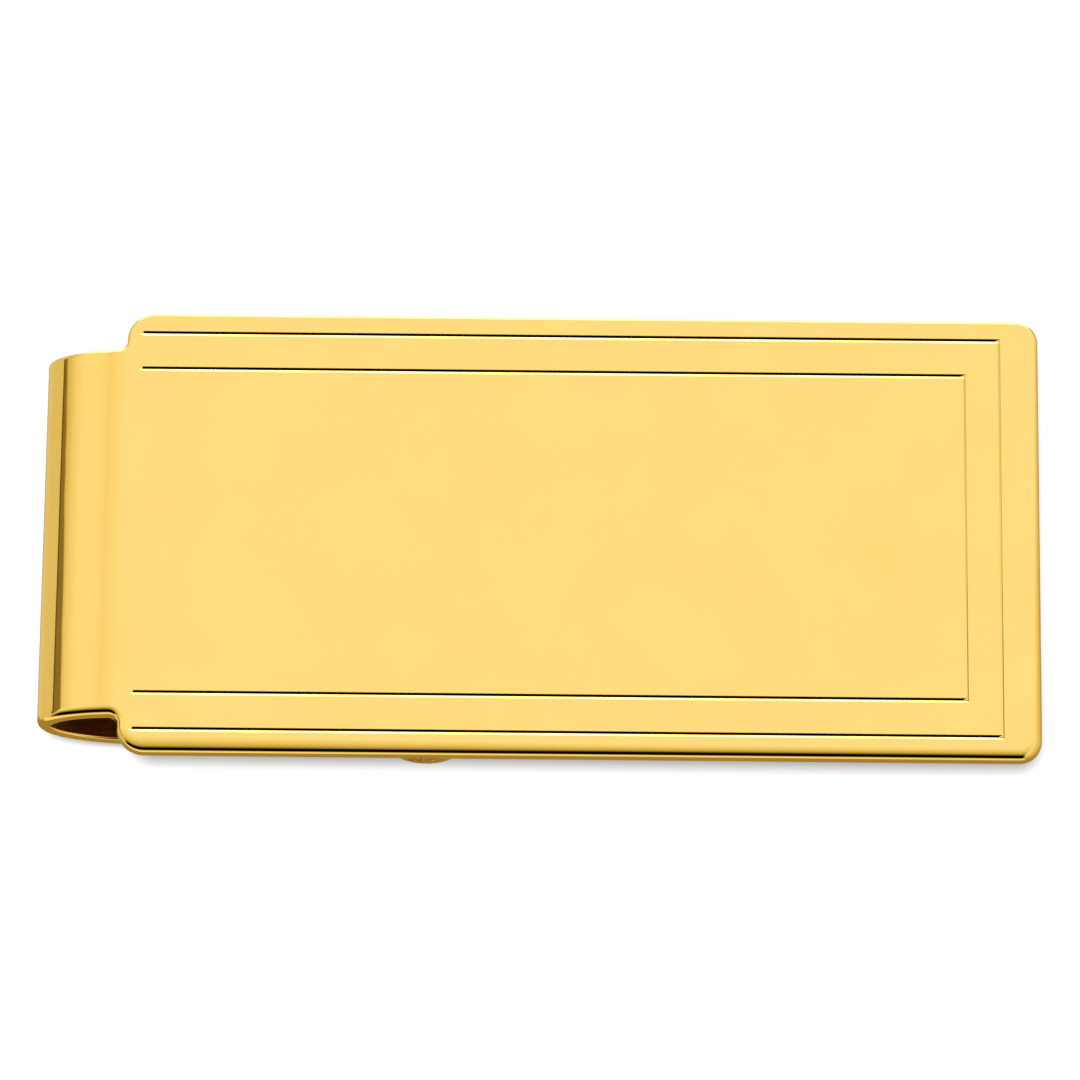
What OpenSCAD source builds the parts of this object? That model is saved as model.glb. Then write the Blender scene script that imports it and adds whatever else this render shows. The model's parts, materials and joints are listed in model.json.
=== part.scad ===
// Hinged money clip.
// One strip of sheet metal makes the wide front plate, the fold at its left end and the
// narrower strap behind it.  A lever is hinged on the end of the strap and closes against
// the back of the plate.  A leaf spring inside the strap presses on the lever's cam, so the
// lever snaps shut and snaps open.
// X runs along the clip from the fold to the free end, Y across it, and Z towards the
// polished front face.  The origin is under the middle of the clip, level with the lowest
// point of the hinge.  All sizes are in millimetres.

/* [Front plate] */
// Length of the whole clip, from the fold to the free end of the plate
total_len = 53; // [50:0.5:58]
// Width of the front plate
plate_w = 25; // [25:0.5:28]
// Thickness of the sheet metal
sheet_t = 0.95; // [0.85:0.05:1.0]
// Radius of the two plate corners at the free end
free_corner_r = 1.2; // [0.5:0.1:2.0]
// Radius of the two plate corners beside the fold
fold_corner_r = 1.5; // [1.0:0.1:1.5]

/* [Fold and strap] */
// Width of the folded strap
strap_w = 20.8; // [20:0.2:21]
// How far the fold stands out beyond the left edge of the plate
fold_reach = 4.3; // [4.2:0.1:5.0]
// Radius of the inner corner between plate and strap
shoulder_r = 0.5; // [0.2:0.1:0.5]

/* [Engraved border] */
// Width of an engraved line at the surface
groove_w = 0.2; // [0.1:0.05:0.3]
// Distance of the outer line from the long edges
outer_line_inset = 1.18; // [1.0:0.02:1.6]
// Distance of the outer line from the free end
outer_line_end = 2.06; // [1.6:0.02:2.6]
// Distance of the inner line from the long edges
inner_line_inset = 3.24; // [2.8:0.02:4.0]
// Distance of the inner line from the free end
inner_line_end = 3.92; // [3.4:0.02:4.6]
// Distance of the lines' open ends from the left edge of the plate
line_start = 0.65; // [0.4:0.05:2]

/* [Hinge] */
// Distance of the hinge axis from the tip of the fold
hinge_from_tip = 20.5; // [20:0.1:21]
// Outer radius of the hinge knuckles
knuckle_r = 1.8; // [1.7:0.05:1.9]
// Radius of the hinge pin
pin_r = 0.85; // [0.7:0.05:0.9]
// Radial clearance of the lever on the pin
running_gap = 0.04; // [0.02:0.01:0.08]
// Width of the lever's middle knuckle
hub_w = 9.2; // [8:0.2:10]
// Gap on each side of the middle knuckle
side_gap = 0.15; // [0.1:0.05:0.3]
// Distance from the hinge axis to each flat of the cam
cam_flat = 1.25; // [1.2:0.05:1.3]
// Radius of the cam's rounded corners
cam_corner_r = 1.6; // [1.5:0.05:1.7]
// Radius of the pin's riveted heads
pin_head_r = 1.1; // [1.0:0.05:1.2]
// Height of the pin's riveted heads
pin_head_h = 0.28; // [0.2:0.02:0.4]

/* [Lever] */
// Width of the lever beside the hinge
lever_w = 18.4; // [16:0.2:19]
// Width of the lever at its finger tip
lever_tip_w = 15.6; // [14:0.2:16]
// Distance of the lever's tip from the tip of the fold
lever_reach = 49; // [48:0.5:49.5]
// Gap between the closed lever and the back of the plate
note_gap = 0.12; // [0.1:0.02:0.3]
// Radius of the two corners at the lever's tip
lever_corner_r = 5; // [3:0.5:6]

/* [Leaf spring] */
// Width of the leaf spring
spring_w = 8.4; // [6:0.2:8.4]
// Thickness of the leaf spring
spring_t = 0.4; // [0.3:0.05:0.5]
// Gap between the leaf spring and the flat of the cam
spring_gap = 0.02; // [0.02:0.01:0.05]
// Distance between the two rivets that hold the spring
rivet_pitch = 4.4; // [3.6:0.2:5]
// Radius of a rivet's shank
rivet_r = 0.5; // [0.4:0.05:0.6]
// Radius of a rivet's head
rivet_head_r = 0.85; // [0.75:0.05:1.0]
// Height of a rivet's head
rivet_head_h = 0.18; // [0.12:0.02:0.24]

/* [Hidden] */

// Steps along each curve, steps round each corner arc, and facets of each true cylinder
curve_steps = 16;
corner_steps = 6;
$fn = 48;

// Depths behind the front face: the hinge axis, the strap's end, and the lever's neck
hinge_depth = 5.8;
strap_depth = 6.2;
lever_depth = 4.9;

// Room for what turns in the hinge, the rim of a riveted head as a share of its foot, and
// how far a cutting shape runs past what it cuts
turn_gap = 0.25;
head_rim = 0.65;
cut_margin = 2;

// Places that follow from the driving dimensions
front_z = hinge_depth + knuckle_r;
hinge_x = hinge_from_tip - total_len / 2;
hinge_z = front_z - hinge_depth;
plate_left = fold_reach - total_len / 2;
plate_right = total_len / 2;
notch_w = hub_w + 2 * side_gap;
notch_x = hinge_x - knuckle_r - turn_gap;
line_left = plate_left + line_start;
shoulder_x = hinge_x + knuckle_r + turn_gap;

// A side-view point: distance from the tip of the fold, and depth behind the front face
function side(from_tip, depth) = [from_tip - total_len / 2, front_z - depth];

// A cubic curve through four control points, its direction, and a list of points on it
function bend(p, t) = pow(1 - t, 3) * p[0] + 3 * pow(1 - t, 2) * t * p[1]
    + 3 * (1 - t) * t * t * p[2] + pow(t, 3) * p[3];
function heading(p, t) = let(d = pow(1 - t, 2) * (p[1] - p[0]) + 2 * (1 - t) * t * (p[2] - p[1])
    + t * t * (p[3] - p[2])) d / norm(d);
function trace(p, gap = 0) = [for (i = [0 : curve_steps])
    let(t = i / curve_steps, d = heading(p, t)) bend(p, t) + gap * [-d[1], d[0]]];
function reversed(list) = [for (i = [len(list) - 1 : -1 : 0]) list[i]];
function arc(centre, r, from, to) = [for (i = [0 : corner_steps])
    let(a = from + (to - from) * i / corner_steps) centre + r * [cos(a), sin(a)]];
function mirrored(list) = [for (p = reversed(list)) [p[0], -p[1]]];

// The straight part of the strap, from the fold to the hinge, and its slope
strap_start = side(5.6, 5.21);
strap_end = side(hinge_from_tip - 1.6, strap_depth);
strap_dir = (strap_end - strap_start) / norm(strap_end - strap_start);
strap_normal = [-strap_dir[1], strap_dir[0]];
strap_angle = atan2(strap_dir[1], strap_dir[0]);

// The fold in side view: outer and inner faces, each in two curves that meet at the tip
fold_outer_front = [side(4.3, 0), side(2.3, 0), side(0, 1.07), side(0, 2.35)];
fold_outer_back = [side(0, 2.35), side(0, 3.85), strap_start - 3.6 * strap_dir, strap_start];
inner_start = strap_start + sheet_t * strap_normal;
fold_inner_back = [inner_start, inner_start - 3.4 * strap_dir, side(0.9, 3.0), side(0.72, 2.42)];
fold_inner_front = [side(0.72, 2.42), side(0.9, 1.5), side(2.3, sheet_t), side(4.3, sheet_t)];

// The lever in side view: the face towards the plate, first to where it grips, then the
// finger tip that turns away again
grip = side(43.6, sheet_t + note_gap);
lever_bow = [side(hinge_from_tip + 1.0, lever_depth), side(31, 4.75),
    side(37, sheet_t + note_gap), grip];
lever_tip = [grip, side(45.6, sheet_t + note_gap), side(47.6, 1.75), side(lever_reach, 2.75)];

// The leaf spring in side view: flat on the strap where the rivets hold it, then free
spring_foot = inner_start - 0.2 * strap_dir;
spring_hold = inner_start + 4.6 * strap_dir;
cam_top = [hinge_x, hinge_z + cam_flat + spring_gap];
spring_rise = [spring_hold, spring_hold + 4 * strap_dir, cam_top - [4.5, 0], cam_top + [1.0, 0]];
rivet_seat = strap_start + 2.2 * strap_dir;

// Extrudes a side view across the clip
module across(width) {
    rotate([90, 0, 0])
        translate([0, 0, -width / 2])
            linear_extrude(width) children();
}

// A round bar along the hinge axis
module axle(radius, length) {
    translate([hinge_x, 0, hinge_z])
        rotate([90, 0, 0])
            cylinder(r = radius, h = length, center = true);
}

// The low head that is left when the end of a pin or rivet is hammered over
module riveted_head(radius, height) {
    cylinder(r1 = radius, r2 = radius * head_rim, h = height);
}

// Places its children on each rivet's axis, at the outer face of the strap
module at_rivets() {
    for (side_y = [-1, 1])
        translate([rivet_seat[0], side_y * rivet_pitch / 2, rivet_seat[1]])
            rotate([0, -strap_angle, 0]) children();
}

// The plate in plan, with its corners and the inner corners beside the strap
module plate_plan() {
    upper = concat(
        arc([plate_left - shoulder_r, strap_w / 2 + shoulder_r], shoulder_r, -90, 0),
        arc([plate_left + fold_corner_r, plate_w / 2 - fold_corner_r], fold_corner_r, 180, 90),
        arc([plate_right - free_corner_r, plate_w / 2 - free_corner_r], free_corner_r, 90, 0));
    polygon(concat(upper, mirrored(upper)));
}

// One engraved line: a V-shaped cut from point to point on the front face
module engraved_line(from, to) {
    run = to - from;
    translate([from[0], from[1], front_z])
        rotate([0, 0, atan2(run[1], run[0])])
            rotate([90, 0, 90])
                linear_extrude(norm(run))
                    polygon([[-groove_w, groove_w / 2], [0, -groove_w / 2], [groove_w, groove_w / 2]]);
}

// A border open at the fold end: two long lines and the short line that joins them
module engraved_border(inset, end) {
    y = plate_w / 2 - inset;
    x = plate_right - end;
    for (line = [[[line_left, y], [x, y]], [[line_left, -y], [x, -y]], [[x, -y], [x, y]]])
        engraved_line(line[0], line[1]);
}

// The folded sheet behind the plate, in side view
module fold_profile() {
    polygon(concat(
        [side(7, sheet_t), side(7, 0)],
        trace(fold_outer_front),
        trace(fold_outer_back),
        [strap_end, strap_end + sheet_t * strap_normal],
        trace(fold_inner_back),
        trace(fold_inner_front)));
}

module clip_body() {
    color("gold") difference() {
        union() {
            translate([0, 0, front_z - sheet_t]) linear_extrude(sheet_t) plate_plan();
            across(strap_w) fold_profile();
            axle(knuckle_r, strap_w);
        }
        translate([notch_x, -notch_w / 2, hinge_z - 2 * knuckle_r])
            cube([3 * knuckle_r, notch_w, 3.6 * knuckle_r]);
        axle(pin_r, strap_w + cut_margin);
        at_rivets()
            translate([0, 0, -cut_margin / 2]) cylinder(r = rivet_r, h = sheet_t + cut_margin);
        engraved_border(outer_line_inset, outer_line_end);
        engraved_border(inner_line_inset, inner_line_end);
    }
}

// The lever's middle knuckle in side view: round below, with a cam of two flats above
module cam_profile() {
    translate([hinge_x, hinge_z]) {
        intersection() {
            circle(r = cam_corner_r);
            translate([-cam_flat, -cam_flat]) square([2 * cam_flat + knuckle_r, 2 * cam_flat]);
        }
        intersection() {
            circle(r = knuckle_r);
            translate([-cam_flat, -2 * knuckle_r]) square([4 * knuckle_r, 2 * knuckle_r]);
        }
    }
}

// The bowed sheet of the lever, in side view
module lever_profile() {
    polygon(concat(
        trace(lever_bow), trace(lever_tip),
        reversed(trace(lever_tip, -sheet_t)), reversed(trace(lever_bow, -sheet_t))));
}

// The lever in plan: a narrow neck at the hinge, shoulders, and a rounded finger tip
module lever_plan() {
    tip_x = lever_reach - total_len / 2;
    upper = concat(
        [[hinge_x, hub_w / 2], [shoulder_x, hub_w / 2], [shoulder_x, lever_w / 2]],
        arc([tip_x - lever_corner_r, lever_tip_w / 2 - lever_corner_r], lever_corner_r, 90, 0));
    polygon(concat(upper, mirrored(upper)));
}

module lever() {
    color("goldenrod") difference() {
        union() {
            across(hub_w) cam_profile();
            intersection() {
                across(plate_w) lever_profile();
                linear_extrude(front_z) lever_plan();
            }
        }
        axle(pin_r + running_gap, plate_w);
    }
}

// The hinge pin, riveted over at both ends
module hinge_pin() {
    color("khaki") {
        axle(pin_r, strap_w);
        for (end = [-1, 1])
            translate([hinge_x, end * strap_w / 2, hinge_z])
                rotate([-90 * end, 0, 0])
                    riveted_head(pin_head_r, pin_head_h);
    }
}

module leaf_spring() {
    color("silver") difference() {
        across(spring_w)
            polygon(concat(
                [spring_foot], trace(spring_rise),
                reversed(trace(spring_rise, spring_t)), [spring_foot + spring_t * strap_normal]));
        at_rivets() cylinder(r = rivet_r, h = sheet_t + cut_margin);
    }
}

// Two rivets through strap and spring, with a low head on each side
module spring_rivets() {
    grip_t = sheet_t + spring_t;
    color("gold") at_rivets() {
        cylinder(r = rivet_r, h = grip_t);
        mirror([0, 0, 1]) riveted_head(rivet_head_r, rivet_head_h);
        translate([0, 0, grip_t]) riveted_head(rivet_head_r, rivet_head_h);
    }
}

clip_body();
lever();
hinge_pin();
leaf_spring();
spring_rivets();
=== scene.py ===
"""Looks for the hinged money clip: folded gold sheet, sprung lever, pin, leaf spring, rivets.

Sheet parts are drawn flat, with rounded edges and engraved lines, and then bent along their
side view.  Lengths are millimetres, unless marked; MM turns them into Blender's metres.
"""
import json
import math

import bpy
import numpy as np
from mathutils import Matrix, Vector
from mathutils.geometry import delaunay_2d_cdt


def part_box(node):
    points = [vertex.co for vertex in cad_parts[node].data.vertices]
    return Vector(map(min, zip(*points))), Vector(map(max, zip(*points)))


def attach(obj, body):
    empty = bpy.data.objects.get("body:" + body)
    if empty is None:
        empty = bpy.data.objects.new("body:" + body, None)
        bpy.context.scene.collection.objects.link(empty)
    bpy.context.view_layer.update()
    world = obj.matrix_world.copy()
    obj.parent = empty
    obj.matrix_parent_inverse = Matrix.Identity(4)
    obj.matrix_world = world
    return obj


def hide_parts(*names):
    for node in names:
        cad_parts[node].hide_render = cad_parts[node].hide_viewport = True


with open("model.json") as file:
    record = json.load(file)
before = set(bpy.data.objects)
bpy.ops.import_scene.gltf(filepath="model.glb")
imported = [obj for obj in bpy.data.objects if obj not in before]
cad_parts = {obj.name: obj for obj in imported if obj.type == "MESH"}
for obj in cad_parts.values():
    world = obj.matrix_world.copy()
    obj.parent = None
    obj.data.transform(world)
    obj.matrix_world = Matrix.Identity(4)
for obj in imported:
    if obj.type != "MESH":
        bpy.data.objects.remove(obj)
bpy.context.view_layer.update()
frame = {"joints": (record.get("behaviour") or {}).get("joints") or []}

MM = 0.001

# ---------------------------------------------------------------- places taken from the frame
CLIP_LO, CLIP_HI = (np.array(c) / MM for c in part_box("clip_body"))
TIP_X, RIGHT_X = CLIP_LO[0], CLIP_HI[0]
FRONT_Z, PLATE_HALF = CLIP_HI[2], CLIP_HI[1]
HINGE_X, _, HINGE_Z = (c / MM for c in frame["joints"][0]["pos_m"])
PIN_END_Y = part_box("hinge_pin")[1][1] / MM
SPRING_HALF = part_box("leaf_spring")[1][1] / MM

# ---------------------------------------------------------------- sheet sizes, as in the CAD
SHEET = 0.95
FREE_CORNER = 1.2
FOLD_CORNER = 1.5
STRAP_HALF = 10.4
SHOULDER_R = 0.5
PLATE_FROM_TIP = 4.3                # where the plate ends and the fold starts
KNUCKLE_R = 1.8
PIN_R = 0.85
HUB_HALF = 4.6
NOTCH_HALF = 4.75
NOTCH_X = HINGE_X - 2.05
LEVER_SHOULDER_X = HINGE_X + 2.05
LEVER_HALF = 9.2
LEVER_TIP_HALF = 7.8
LEVER_CORNER = 5.0
NOTE_GAP = 0.12
PIN_HEAD_R = 1.1
SPRING_T = 0.4
CAM_FLAT = 1.25
CAM_CORNER = 1.6
CAM_GAP = 0.05                      # keeps the spring off the cam as it turns
RIVET_S, RIVET_Y = 2.2, 2.2         # from the strap's start, and from the middle
RIVET_HEAD_R = 0.85
RIVET_HEAD_H = 0.18
RIM_TRIM = 0.02                     # a hammered head is this much wider at its very rim
DOME_POWER = 0.7                    # below 1 gives a head a flat crown and a steep rim

# ---------------------------------------------------------------- rounding of the edges
# The outer face runs through a soft buffed shoulder, SOFT_* wide, into an arc of radius EDGE_R.
EDGE_R, EDGE_TOP_R = 0.42, 0.20     # on the -Y and the +Y side
TIP_EDGE_R = 0.46                   # round the fold's tip
BACK_R = 0.13                       # the inner face's edges
BACK_RINGS = 5
SOFT_EDGE = 0.12
SOFT_FREE, SOFT_FOLD, SOFT_CROOK = 0.36, 0.60, 0.20
BUFFED_FROM, BUFFED_TO = 20, 46     # where the plate's shoulder widens towards the fold
SHOULDER_TILT = 22.0                # degrees, where the shoulder meets the arc
SHOULDER_RINGS = 7
SHOULDER_POWER = 1.6
ARC_RINGS = 8
CLOSE = 1e-6


def unit(v):
    v = np.asarray(v, float)
    return v / np.linalg.norm(v)


def side(from_tip, depth):
    """Side-view point from its distance to the fold's tip and its depth behind the front."""
    return np.array([TIP_X + from_tip, FRONT_Z - depth])


def cubic(p, count, skip_first=False):
    """Points and directions on a cubic curve through four control points."""
    t = np.linspace(0, 1, count)[1 if skip_first else 0:, None]
    p = [np.asarray(q, float) for q in p]
    at = (1 - t) ** 3 * p[0] + 3 * (1 - t) ** 2 * t * p[1] + 3 * (1 - t) * t * t * p[2] + t ** 3 * p[3]
    d = (1 - t) ** 2 * (p[1] - p[0]) + 2 * (1 - t) * t * (p[2] - p[1]) + t * t * (p[3] - p[2])
    return at, d / np.linalg.norm(d, axis=1)[:, None]


def arc(centre, radius, start, end, count):
    """Points on an arc and their unit vectors away from its centre; angles in degrees."""
    a = np.radians(np.linspace(start, end, count))
    out = np.stack([np.cos(a), np.sin(a)], 1)
    return np.asarray(centre) + radius * out, out


class Strip:
    """A sheet's side view: outer and inner face at matching stations along its length."""

    def __init__(self, outer, inner, outer_dir, inner_dir, thick):
        self.outer, self.inner = np.array(outer), np.array(inner)
        self.dirs = (np.array(outer_dir), np.array(inner_dir))
        steps = np.linalg.norm(np.diff(self.outer, axis=0), axis=1)
        self.s = np.concatenate([[0], np.cumsum(steps)])
        self.thick = thick

    def length(self):
        return self.s[-1]

    def s_at_x(self, x, stations=slice(None)):
        xs, ss = self.outer[stations, 0], self.s[stations]
        order = np.argsort(xs)
        return float(np.interp(x, xs[order], ss[order]))

    def _at(self, table, s):
        return np.array([np.interp(s, self.s, table[:, k]) for k in range(2)])

    def place(self, s, y, depth, normal):
        """World point and normal of a flat point; depth runs from 0, outside, to thick."""
        f = depth / self.thick
        p = (1 - f) * self._at(self.outer, s) + f * self._at(self.inner, s)
        t = unit(self._at(self.dirs[0] if f < 0.5 else self.dirs[1], s))
        n = np.array([t[1], -t[0]])
        across = normal[0] * t + normal[2] * n
        return (p[0], y, p[1]), unit((across[0], normal[1], across[1]))


# ---------------------------------------------------------------- mesh building
def link_object(name, data):
    obj = bpy.data.objects.new(name, data)
    bpy.context.scene.collection.objects.link(obj)
    return obj


def new_object(name, verts, faces, flat, mats, face_mats=None, corner_normals=None):
    """A smooth mesh object in metres that carries its flat coordinates for the materials."""
    me = bpy.data.meshes.new(name)
    me.from_pydata([tuple(c * MM for c in v) for v in verts], [], faces)
    if face_mats:
        me.polygons.foreach_set("material_index", face_mats)
    me.polygons.foreach_set("use_smooth", [True] * len(faces))
    if corner_normals:
        me.normals_split_custom_set([tuple(n) for f in corner_normals for n in f])
    attribute = me.attributes.new("flat", "FLOAT_VECTOR", "POINT")
    attribute.data.foreach_set("vector", np.array(flat, np.float32).ravel())
    for m in mats:
        me.materials.append(m)
    return link_object(name, me)


class Builder:
    """Collects the vertices and faces of one closed sheet part, with a normal per corner."""

    def __init__(self, place):
        self.place = place
        self.verts, self.flat = [], []
        self.faces, self.normals, self.mats = [], [], []

    def vert(self, u, v, depth):
        self.flat.append((u, v, depth))
        self.verts.append(self.place(u, v, depth, (0, 0, 1))[0])
        return len(self.verts) - 1

    def face(self, index, normals, mat=0):
        world = [self.place(*self.flat[i], n)[1] for i, n in zip(index, normals)]
        p = [np.array(self.verts[i]) for i in index]
        facing = sum(np.cross(p[k] - p[0], p[k + 1] - p[0]) for k in range(1, len(p) - 1))
        if np.dot(facing, sum(world)) < 0:
            index, world = index[::-1], world[::-1]
        self.faces.append(tuple(index))
        self.normals.append(world)
        self.mats.append(mat)

    def finish(self, name, mats):
        return new_object(name, self.verts, self.faces, self.flat, mats, self.mats, self.normals)


def rim_profile(radius, soft):
    """Inset, depth, and normal of the front rounding: a buffed shoulder, then a tight arc."""
    turn = math.radians(SHOULDER_TILT)
    start = radius * (1 - math.sin(turn))
    rows, depth = [], 0.0
    for k in range(SHOULDER_RINGS):
        t = k / SHOULDER_RINGS
        tilt = turn * t ** SHOULDER_POWER
        rows.append((start + soft * (1 - t), depth, tilt))
        depth += math.tan(turn * (t + 0.5 / SHOULDER_RINGS) ** SHOULDER_POWER) * soft / SHOULDER_RINGS
    for tilt in np.linspace(turn, math.pi / 2, ARC_RINGS):
        rows.append((radius * (1 - math.sin(tilt)), depth + radius * (math.cos(turn) - math.cos(tilt)),
                     tilt))
    return rows


def rings(builder, outline, outward, r_front, soft, r_back, thick, edge_mat):
    """The rounded rim of a slab; returns the front loop and the back loop."""
    count = len(outline)
    r_front, soft = (np.broadcast_to(np.asarray(v, float), (count,)) for v in (r_front, soft))
    profiles = [rim_profile(r, w) for r, w in zip(r_front, soft)]
    for rows in profiles:
        for b in np.radians(np.linspace(90, 0, BACK_RINGS)):
            rows.append((r_back * (1 - math.sin(b)), thick - r_back * (1 - math.cos(b)), math.pi - b))
    loops = []          # per ring: vertex numbers, flat places and normals
    for k in range(len(profiles[0])):
        ids, at, normals = [], [], []
        for p, n, rows in zip(outline, outward, profiles):
            inset, depth, tilt = rows[k]
            at.append(p - inset * n)
            ids.append(builder.vert(at[-1][0], at[-1][1], depth))
            normals.append((math.sin(tilt) * n[0], math.sin(tilt) * n[1], math.cos(tilt)))
        loops.append((ids, np.array(at), normals))
    wall = SHOULDER_RINGS + ARC_RINGS - 1
    for k, ((a, _, na), (b, _, nb)) in enumerate(zip(loops, loops[1:])):
        mat = edge_mat if k == wall else 0
        for i in range(count):
            j = (i + 1) % count
            builder.face([a[i], a[j], b[j], b[i]], [na[i], na[j], nb[j], nb[i]], mat)
    return loops[0], loops[-1]


def fill_plan(at, lines, grooves):
    """Points, edges and groove depths for the triangulation inside a loop."""
    points = [Vector(p) for p in at]
    edges = [(i, (i + 1) % len(at)) for i in range(len(at))]
    depths = {}
    for ends in lines:
        pair = []
        for p in ends:
            near = np.linalg.norm(at - np.array(p), axis=1)
            if near.min() < CLOSE:
                pair.append(int(near.argmin()))
            else:
                points.append(Vector(p))
                pair.append(len(points) - 1)
        edges.append(tuple(pair))
    for line in (line for groove in grooves for line in groove):
        start = len(points)
        for p in line:
            depths[len(points)] = p[2]
            points.append(Vector(p[:2]))
        edges += [(start + k, start + k + 1) for k in range(len(line) - 1)]
    return points, edges, depths


def fill(builder, loop, depth, up, lines=(), grooves=(), mat=0):
    """Triangles inside a loop, with cross lines for bending and engraved grooves."""
    ids, at, _ = loop
    points, edges, depths = fill_plan(at, lines, grooves)
    verts, _, faces, origin, _, _ = delaunay_2d_cdt(points, edges, [], 1, 1e-7)
    known = []          # per point: its vertex number and its depth below the face
    for p, source in zip(verts, origin):
        first = min(source) if source else -1
        if 0 <= first < len(ids):
            known.append((ids[first], 0.0))
            continue
        extra = max([depths.get(k, 0.0) for k in source] or [0.0])
        known.append((builder.vert(p[0], p[1], depth + extra), extra))
    for f in faces:
        if any(known[k][1] > 0 for k in f):
            p = [np.array([verts[k][0], verts[k][1], -known[k][1]]) for k in f]
            n = unit(np.cross(p[1] - p[0], p[2] - p[0]))
            n = n if n[2] > 0 else -n
        else:
            n = np.array([0, 0, up])
        builder.face([known[k][0] for k in f], [n] * len(f), mat)


def outline_of(parts):
    """Joins a half outline with its mirror image in y; columns: u, v, normal, radius, soft."""
    rows = []
    for (points, normals), radius, soft in parts:
        extra = np.broadcast_to(np.stack(np.broadcast_arrays(radius, soft), -1), (len(points), 2))
        rows.append(np.concatenate([points, normals, extra], 1))
    rows = np.concatenate(rows)
    rows = np.concatenate([rows, rows[::-1] * np.array([1, -1, 1, -1, 1, 1])])
    keep = np.linalg.norm(rows[:, :2] - np.roll(rows[:, :2], 1, axis=0), axis=1) > CLOSE
    rows = rows[keep]
    return rows[:, :2], rows[:, 2:4], rows[:, 4], rows[:, 5]


def straight(points, normal):
    points = np.array(points, float)
    return points, np.tile(np.array(normal, float), (len(points), 1))


def flipped(curve):
    return curve[0], -curve[1]


# ---------------------------------------------------------------- side views
STRAP_START = side(5.6, 5.21)
STRAP_END = side(18.9, 6.2)
STRAP_DIR = unit(STRAP_END - STRAP_START)
STRAP_UP = np.array([-STRAP_DIR[1], STRAP_DIR[0]])
HINGE = np.array([HINGE_X, HINGE_Z])
INNER_START = STRAP_START + SHEET * STRAP_UP
BEND_STEPS = 41
JOIN_R = 0.45                       # fillet between the strap and the knuckles
JOIN_STEPS = 9
CURL_END = 527                      # degrees, where the rolled lip stops
CURL_STEPS = 56
CURL_BORE = PIN_R + 0.02

# Control points of the curves, as distance from the fold's tip and depth behind the front
FOLD_OUT = [(PLATE_FROM_TIP, 0), (2.3, 0), (0, 1.07), (0, 2.35)]
FOLD_IN = [(PLATE_FROM_TIP, SHEET), (2.3, SHEET), (0.9, 1.5), (0.72, 2.42)]
UNDER_OUT, UNDER_OUT_PULL = (0, 3.85), 3.6
UNDER_IN, UNDER_IN_PULL = (0.9, 3.0), 3.4
DIP_PULL = 0.5
SPRING_FOOT, SPRING_HOLD = -0.2, 4.6            # along the strap from its start
SPRING_PULLS, SPRING_PAST = (4, 6.5), 1.0       # its curve's two pulls; its end past the hinge
LEVER_BOW = [(21.5, 4.9), (31, 4.75), (37, SHEET + NOTE_GAP), (43.6, SHEET + NOTE_GAP)]
LEVER_TIP = [LEVER_BOW[-1], (45.6, SHEET + NOTE_GAP), (47.6, 1.75), (49, 2.75)]


def side_points(points):
    return [side(*p) for p in points]


def angle_of(v):
    return math.degrees(math.atan2(v[1], v[0]))


def knuckle_faces():
    """The strap's run into the knuckles and their curl: pairs of faces with their directions."""
    # a fillet that touches the strap's lower face and the round of the knuckle
    rel = STRAP_END - JOIN_R * STRAP_UP - HINGE
    reach = KNUCKLE_R + JOIN_R
    along = -rel @ STRAP_DIR - math.sqrt((rel @ STRAP_DIR) ** 2 - rel @ rel + reach ** 2)
    centre = STRAP_END - JOIN_R * STRAP_UP + along * STRAP_DIR
    to_hinge = unit(HINGE - centre)
    sweep, away = arc(centre, JOIN_R, angle_of(STRAP_UP), angle_of(to_hinge), JOIN_STEPS)
    sweep_dir = np.stack([away[:, 1], -away[:, 0]], 1)
    begin = angle_of(-to_hinge) % 360
    bore, bore_out = arc(HINGE, CURL_BORE, begin, CURL_END, CURL_STEPS)
    top = sweep[0] + SHEET * STRAP_UP
    into_bore = np.array([bore_out[0][1], -bore_out[0][0]])
    pulled = [top + DIP_PULL * STRAP_DIR, bore[0] + DIP_PULL * into_bore]
    dip, dip_dir = cubic([top, *pulled, bore[0]], JOIN_STEPS)
    curl, out = arc(HINGE, KNUCKLE_R, begin, CURL_END, CURL_STEPS)
    spin = np.stack([-out[:, 1], out[:, 0]], 1)
    return (sweep, dip, sweep_dir, dip_dir), (curl[1:], bore[1:], spin[1:], spin[1:])


def clip_strip():
    """Plate, fold, strap and the curl of the knuckles, from the free end to the curl's lip."""
    left = np.array([[-1.0, 0.0]])
    plate = np.array([[RIGHT_X, FRONT_Z]])
    out_tip, in_tip = side(*FOLD_OUT[-1]), side(*FOLD_IN[-1])
    front, front_dir = cubic(side_points(FOLD_OUT), BEND_STEPS)
    back, back_dir = cubic([out_tip, side(*UNDER_OUT), STRAP_START - UNDER_OUT_PULL * STRAP_DIR,
                            STRAP_START], BEND_STEPS, True)
    front_in, front_in_dir = cubic(side_points(FOLD_IN), BEND_STEPS)
    back_in, back_in_dir = cubic([in_tip, side(*UNDER_IN), INNER_START - UNDER_IN_PULL * STRAP_DIR,
                                  INNER_START], BEND_STEPS, True)
    parts = [(plate, plate - [0, SHEET], left, left), (front, front_in, front_dir, front_in_dir),
             (back, back_in, back_dir, back_in_dir), *knuckle_faces()]
    return Strip(*(np.concatenate(column) for column in zip(*parts)), SHEET)


def lever_strip():
    """The lever's bow and finger tip; its outer face is the one away from the plate."""
    bow, bow_dir = cubic(side_points(LEVER_BOW), BEND_STEPS)
    tip, tip_dir = cubic(side_points(LEVER_TIP), BEND_STEPS, True)
    inner, d = np.concatenate([bow, tip]), np.concatenate([bow_dir, tip_dir])
    outer = inner + SHEET * np.stack([d[:, 1], -d[:, 0]], 1)
    return Strip(outer, inner, d, d, SHEET)


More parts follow.
